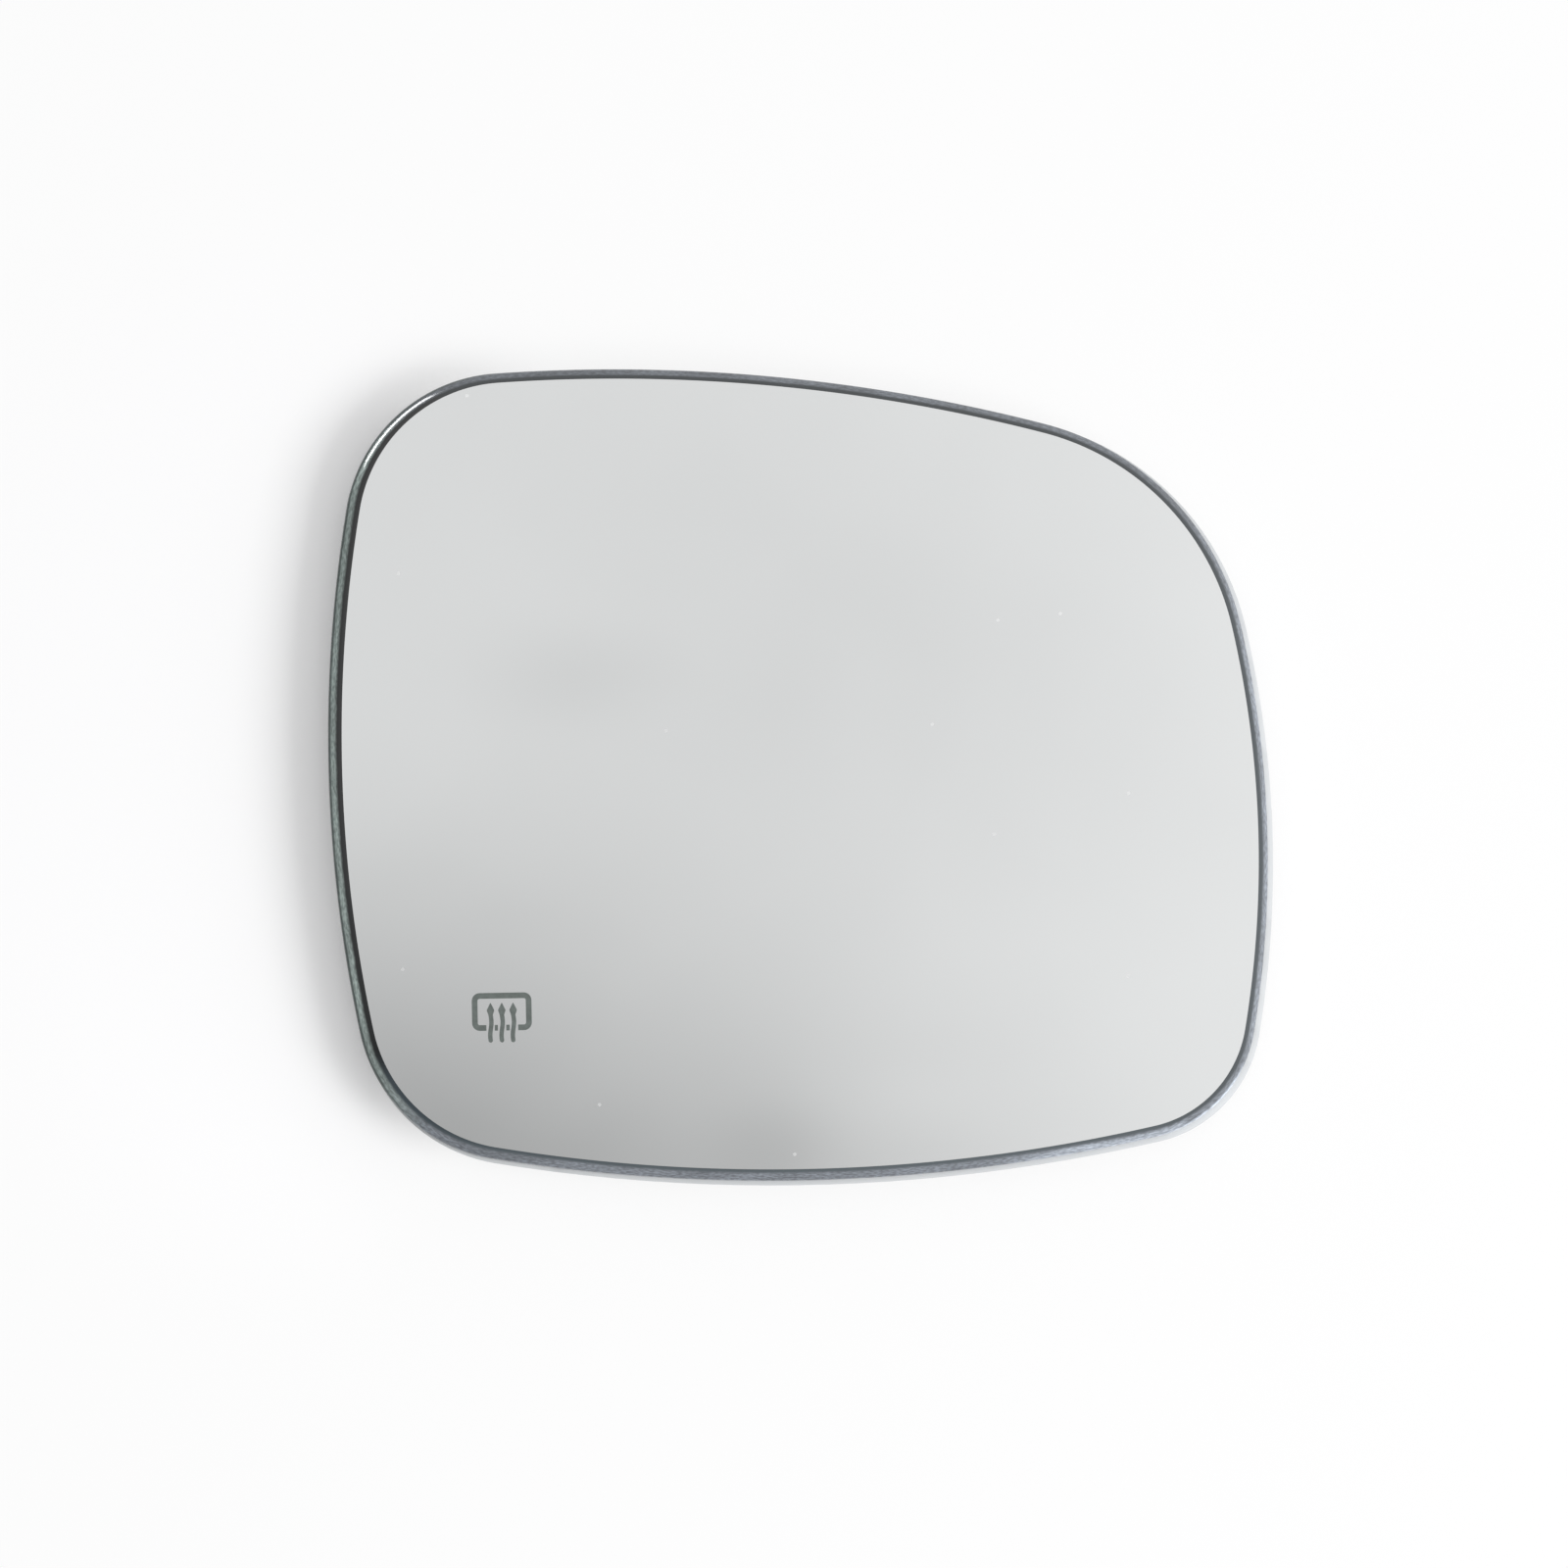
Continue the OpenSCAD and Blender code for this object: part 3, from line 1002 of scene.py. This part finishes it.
@dataclass
class HeatingSign:
    """The sign for a heated mirror: a rounded frame with three wavy arrows through its low side.

    frame_ends are the places where the frame's line stops at its low side, and dashes the middle
    and half the length of the two short dashes between them. head holds the length of an arrow's
    head, its greatest width, the share of the length where that lies, and the width of the tip.
    The head starts neck_gap past the stem, and a stem's foot starts with foot_share of its width.
    """

    effects: Effects
    centre: tuple = (-60.02 * MM, -47.3 * MM)
    turn: float = math.radians(1.0)
    frame: tuple = (10.9 * MM, 6.45 * MM)
    frame_ends: tuple = (3.25 * MM, -3.15 * MM)
    dashes: tuple = ((-1.15 * MM, 0.32 * MM), (1.2 * MM, 0.36 * MM))
    corner: float = 1.0 * MM
    stroke: float = 1.16 * MM
    arrow_places: tuple = (-2.27 * MM, 0.01 * MM, 2.29 * MM)
    arrow_foot: float = -6.2 * MM
    arrow_tip: float = 1.75 * MM
    stem: float = 0.90 * MM
    foot_share: float = math.sqrt(0.02)
    head: tuple = (2.4 * MM, 1.56 * MM, 0.4, 0.12 * MM)
    neck_gap: float = 0.02 * MM
    wave: float = 0.14 * MM
    height: float = 0.02 * MM
    frame_steps: int = 120
    corner_steps: int = 9
    dash_steps: int = 5
    stem_steps: int = 40
    head_steps: int = 12

    def _ribbon(self, path: np.ndarray, width: np.ndarray) -> tuple[np.ndarray, np.ndarray]:
        """A flat closed strip on the glass along a path.

        Each station has four corners: the path +- half the width across it, just above and just
        under the face.

        Args:
            path: array of shape (n, 2), from the sign's centre.
            width: the width at each point.

        Returns:
            Vertices and faces.
        """
        along = np.gradient(path, axis=0)
        along /= np.hypot(*along.T)[:, None]
        across = np.column_stack([along[:, 1], -along[:, 0]]) * width[:, None] / 2
        c, s = math.cos(self.turn), math.sin(self.turn)
        corners = []
        for side, lift in ((1, self.height), (-1, self.height), (-1, -self.height),
                           (1, -self.height)):
            xy = (path + side * across) @ np.array([[c, s], [-s, c]]) + self.centre
            corners.append(np.column_stack([xy, DOME.height(xy) + lift]))
        return strip(np.stack(corners, axis=1))

    def _frame_path(self) -> np.ndarray:
        """The frame's middle line, from its end at the lower right round the top to the other.

        Each corner is centre + r * (cos a, sin a) over a quarter turn.

        Returns:
            Points at even distances.
        """
        w, h, r = self.frame[0] / 2, self.frame[1] / 2, self.corner
        quarter = np.radians(np.linspace(0, 90, self.corner_steps))
        bends = []
        for k, (x, y) in enumerate(((w - r, r - h), (w - r, h - r), (r - w, h - r),
                                    (r - w, r - h))):
            a = quarter + math.radians(90 * k - 90)
            bends.append(np.column_stack([x + r * np.cos(a), y + r * np.sin(a)]))
        start, end = ([[x, -h]] for x in self.frame_ends)
        path = np.concatenate([start, *bends, end])
        gone = np.concatenate([[0], np.cumsum(np.hypot(*np.diff(path, axis=0).T))])
        at = np.linspace(0, gone[-1], self.frame_steps)
        return np.column_stack([np.interp(at, gone, path[:, i]) for i in (0, 1)])

    def _arrow(self, x: float) -> tuple[np.ndarray, np.ndarray]:
        """One arrow, with a round foot.

        The stem runs along x - wave * sin(2 pi t), and the head swells to its greatest width and
        narrows to the tip.

        Args:
            x: where it stands.

        Returns:
            Vertices and faces.
        """
        length, widest, widest_at, tip_width = self.head
        foot, neck = self.arrow_foot, self.arrow_tip - length
        t = np.linspace(0, 1, self.stem_steps)
        line = [x - self.wave * np.sin(2 * np.pi * t), foot + (neck - foot) * t]
        stem = np.column_stack(line)
        up = np.linspace(neck + self.neck_gap, self.arrow_tip, self.head_steps)
        path = np.concatenate([stem, np.column_stack([np.full(self.head_steps, x), up])])
        climb = np.clip((stem[:, 1] - foot) / (self.stem / 2), 0, 1)
        round_foot = np.maximum(np.sqrt(1 - (1 - climb) ** 2), self.foot_share)
        share = np.linspace(0, 1, self.head_steps)
        swell = np.interp(share, (0, widest_at, 1), (self.stem, widest, tip_width))
        return self._ribbon(path, np.concatenate([self.stem * round_foot, swell]))

    def build(self) -> Piece:
        """Builds the frame, its two short dashes and the three arrows as one piece.

        Returns:
            The sign.
        """
        outline = self._frame_path()
        parts = [self._ribbon(outline, np.full(len(outline), self.stroke))]
        for x, reach in self.dashes:
            line = np.linspace(x - reach, x + reach, self.dash_steps)
            dash = np.column_stack([line, np.full(self.dash_steps, -self.frame[1] / 2)])
            parts.append(self._ribbon(dash, np.full(self.dash_steps, self.stroke)))
        parts += [self._arrow(x) for x in self.arrow_places]
        vertices, faces = join(parts)
        piece = make_object("heating_sign", vertices, faces.tolist(), smooth=False)
        piece.data.materials.append(SignPaint().material(self.effects))
        finish_piece(piece)
        return piece


@dataclass
class BackingPlate:
    """The moulded plate: the CAD solid with its edges rounded, as they come out of a mould.

    Faces that meet at less than flat are joined, and edges that turn by more than sharp are
    rounded.
    """

    effects: Effects
    edge_round: float = 0.22 * MM
    round_steps: int = 2
    weld: float = 0.002 * MM
    flat: float = math.radians(0.2)
    sharp: float = math.radians(35)

    def build(self, node: Piece) -> Piece:
        """Welds a copy of the node's triangles, joins the flat ones and rounds the sharp edges.

        Args:
            node: the CAD node of the plate.

        Returns:
            The plate that stands for it.
        """
        mesh = bpy.data.meshes.new("moulded_plate")
        solid = bmesh.new()
        solid.from_mesh(node.data)
        bmesh.ops.remove_doubles(solid, verts=solid.verts, dist=self.weld)
        bmesh.ops.dissolve_limit(
            solid, angle_limit=self.flat, verts=solid.verts, edges=solid.edges)
        solid.to_mesh(mesh)
        solid.free()
        mesh.polygons.foreach_set("use_smooth", np.ones(len(mesh.polygons), dtype=bool))
        mesh.materials.clear()
        mesh.materials.append(MouldedPlastic().material(self.effects))
        piece = place_object("moulded_plate", mesh)
        rounding = piece.modifiers.new("mould_edges", "BEVEL")
        rounding.width = self.edge_round
        rounding.segments = self.round_steps
        rounding.limit_method = "ANGLE"
        rounding.angle_limit = self.sharp
        rounding.use_clamp_overlap = True
        rounding.harden_normals = True
        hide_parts("backing_plate")
        finish_piece(piece)
        return piece


@dataclass
class Underside:
    """The CAD solids between glass and plate, which keep their shapes and get their finishes."""

    effects: Effects
    finishes: dict = field(default_factory=lambda: {
        "foam_sheet": Foam(), "heater_pad": Film(), "heater_terminals": Brass(),
        "terminal_rivets": Brass()})

    def dress(self, nodes: dict) -> None:
        """Gives each node its material.

        Args:
            nodes: the CAD nodes by name.
        """
        for name, finish in self.finishes.items():
            node = nodes[name]
            node.data.materials.clear()
            node.data.materials.append(finish.material(self.effects))
            log.info("%s: dressed", name)


# Floor, light and camera

@dataclass(frozen=True)
class Spot:
    """A soft oval patch about a centre.

    Its level is levels[0] inside ends[0] times the reach, and turns smoothly to levels[1] at
    ends[1] times the reach.
    """

    centre: tuple
    reach: tuple
    levels: tuple
    ends: tuple = (0.0, 1.0)

    def value(self, graph: NodeGraph, place: Socket) -> Socket:
        """The level at a place.

        Args:
            graph: the graph that it goes into.
            place: the place, as a vector.

        Returns:
            The level.
        """
        values = {0: place, 1: (-self.centre[0], -self.centre[1], 0.0)}
        moved = graph.add("ShaderNodeVectorMath", values, operation="ADD").outputs[0]
        values = {0: moved, 1: (1 / self.reach[0], 1 / self.reach[1], 0.0)}
        scaled = graph.add("ShaderNodeVectorMath", values, operation="MULTIPLY").outputs[0]
        far = graph.add("ShaderNodeVectorMath", {0: scaled}, operation="LENGTH").outputs["Value"]
        return graph.smooth(far, *self.ends, *self.levels)


@dataclass(frozen=True)
class Lamp:
    """A soft lamp that points at the object.

    on_gloss tells whether it is only seen in glossy surfaces, or only lights matt ones.
    """

    name: str
    place: tuple
    size: tuple
    watts: float
    on_gloss: bool

    def build(self) -> None:
        """Hangs the lamp."""
        light = bpy.data.lights.new(self.name, "AREA")
        light.shape = "RECTANGLE"
        light.size, light.size_y = self.size
        light.energy = self.watts
        lamp = place_object(self.name, light)
        lamp.location = self.place
        lamp.rotation_euler = (-Vector(self.place)).to_track_quat("-Z", "Y").to_euler()
        lamp.visible_camera = False
        lamp.visible_diffuse = not self.on_gloss
        lamp.visible_glossy = self.on_gloss


@dataclass
class Studio:
    """Pale floor, soft light from the right and a camera nearly straight above.

    The room's level is room[0] + room[1] * x + room[2] * y of the direction, plus the levels of
    the patches that the mirror shows. Those were set by levels read off the photograph.
    """

    scale: float = 0.1973 * MM
    frame_pixels: int = 1600
    object_pixel: tuple = (816.3, 792.5)
    aim_height: float = 12 * MM
    distance: float = 2.5
    lean: tuple = (0.02, -0.03)
    sensor: float = 36.0

    floor_half: float = 3.0
    floor_drop: float = 0.02 * MM
    floor_colour: tuple = (0.88, 0.88, 0.885, 1.0)
    floor_white: float = 0.972
    light_side: tuple = (0.0, 0.87, -0.5)
    light_ends: tuple = (-0.05, -0.02)
    shadow: Spot = Spot((-0.11, 0.005), (0.06, 0.09), (0.2, 0.85), (0.75, 1.35))

    room: tuple = (0.925, 0.3815, 0.162)
    mottles: tuple = (("Scale", 17.0), ("Detail", 3.0), ("Distortion", 0.6))
    mottle_depth: float = 0.06
    dark_side: tuple = (-0.85, -0.30, 0.3, 1.0)
    patches: tuple = (
        Spot((-0.250, -0.245), (0.473, 0.313), (-0.80, 0.0)),
        Spot((-0.008, 0.085), (0.246, 0.246), (-0.094, 0.0)),
        Spot((-0.104, 0.067), (0.055, 0.024), (-0.05, 0.0)),
        Spot((0.024, -0.088), (0.057, 0.023), (0.04, 0.0)),
        Spot((-0.028, -0.106), (0.037, 0.026), (-0.075, 0.0)))
    lamps: tuple = (
        Lamp("key", (0.85, -0.30, 0.85), (0.6, 0.6), 9.0, on_gloss=False),
        Lamp("edge_light", (-0.608, 0.577, 0.545), (0.39, 0.20), 3.3, on_gloss=True))

    def floor(self) -> None:
        """A pale floor that shows white to the camera and keeps the object's shadow on its left.

        The share of plain white grows smoothly out of the shadow's oval, and with the sum of
        light_side towards the side of the light. This plain white is painted light that covers most
        of the object's shadow everywhere but in the oval on its left.
        """
        half = self.floor_half
        corners = np.array([(-half, -half, 0), (half, -half, 0), (half, half, 0), (-half, half, 0)])
        plane = make_object("floor", corners - (0, 0, self.floor_drop), [[0, 1, 2, 3]])
        material = bpy.data.materials.new("pale_floor")
        material.use_nodes = True
        graph = NodeGraph(material.node_tree)
        material.node_tree.nodes.clear()
        matt = graph.add("ShaderNodeBsdfDiffuse", {"Color": self.floor_colour})
        values = {"Color": (*(self.floor_white,) * 3, 1.0), "Strength": 1.0}
        white = graph.add("ShaderNodeEmission", values)
        place = graph.place()
        parts = graph.add("ShaderNodeSeparateXYZ", {"Vector": place})
        side = graph.plane([parts.outputs["X"], parts.outputs["Y"]], self.light_side)
        # painted light: plain white over the floor's shadow outside the oval on the left
        lit = graph.smooth(side, *self.light_ends, *self.shadow.levels)
        share = graph.math("MAXIMUM", lit, self.shadow.value(graph, place))
        path = graph.add("ShaderNodeLightPath")
        seen = graph.math("MAXIMUM", path.outputs["Is Camera Ray"],
                          path.outputs["Is Transmission Ray"])
        seen = graph.math("MAXIMUM", seen, path.outputs["Is Glossy Ray"])
        share = graph.math("MULTIPLY", seen, share)
        values = {0: share, 1: matt.outputs[0], 2: white.outputs[0]}
        mixed = graph.add("ShaderNodeMixShader", values)
        out = graph.add("ShaderNodeOutputMaterial")
        graph.link(mixed.outputs[0], out.inputs["Surface"])
        plane.data.materials.append(material)

    def world(self) -> None:
        """A soft room, lighter to the right and dark far to the left, with faint mottles."""
        world = bpy.data.worlds.new("soft_room")
        bpy.context.scene.world = world
        world.use_nodes = True
        graph = NodeGraph(world.node_tree)
        back = world.node_tree.nodes["Background"]
        way = graph.add("ShaderNodeTexCoord").outputs["Generated"]
        part = graph.add("ShaderNodeSeparateXYZ", {"Vector": way})
        level = graph.plane([part.outputs["X"], part.outputs["Y"]], self.room)
        for patch in self.patches:
            level = graph.math("ADD", level, patch.value(graph, way))
        noise = graph.add("ShaderNodeTexNoise", {"Vector": way, **dict(self.mottles)})
        level = graph.math("SUBTRACT", level, self.mottle_depth / 2)
        level = graph.math("MULTIPLY_ADD", noise.outputs["Fac"], self.mottle_depth, level)
        dark = graph.smooth(part.outputs["X"], *self.dark_side)
        level = graph.math("MULTIPLY", level, dark)
        seen = graph.add("ShaderNodeLightPath").outputs["Is Camera Ray"]
        level = graph.math("MAXIMUM", level, graph.math("MULTIPLY", seen, self.floor_white))
        graph.link(graph.grey(level), back.inputs["Color"])
        back.inputs["Strength"].default_value = 1.0

    def camera(self) -> None:
        """The camera, leant a little from straight above.

        Its lens takes in frame_pixels * scale at the object's distance, and it aims at the place
        that the middle of the photograph shows.
        """
        data = bpy.data.cameras.new("camera")
        data.sensor_width = self.sensor
        data.lens = self.sensor * self.distance / (self.frame_pixels * self.scale)
        data.clip_end = 10.0
        camera = place_object("camera", data)
        middle = self.frame_pixels / 2
        aim = Vector(((middle - self.object_pixel[0]) * self.scale,
                      (self.object_pixel[1] - middle) * self.scale, self.aim_height))
        away = Vector((*self.lean, 1.0)).normalized()
        right = Vector((0, 1, 0)).cross(away).normalized()
        up = away.cross(right)
        turn = Matrix((right, up, away)).transposed().to_4x4()
        camera.matrix_world = Matrix.Translation(aim + away * self.distance) @ turn
        bpy.context.scene.camera = camera

    def build(self) -> None:
        """Sets the view and builds floor, world, lamps and camera."""
        bpy.context.scene.view_settings.view_transform = "Standard"
        self.floor()
        self.world()
        for lamp in self.lamps:
            lamp.build()
        self.camera()


def main() -> None:
    """Builds every piece."""
    logging.basicConfig(level=logging.INFO, format="%(name)s: %(message)s")
    effects = Effects()
    MirrorGlass(effects).build()
    HeatingSign(effects).build()
    BackingPlate(effects).build(frame["nodes"]["backing_plate"])
    Underside(effects).dress(frame["nodes"])
    Studio().build()
    bpy.context.view_layer.update()


if __name__ == "__main__":
    main()
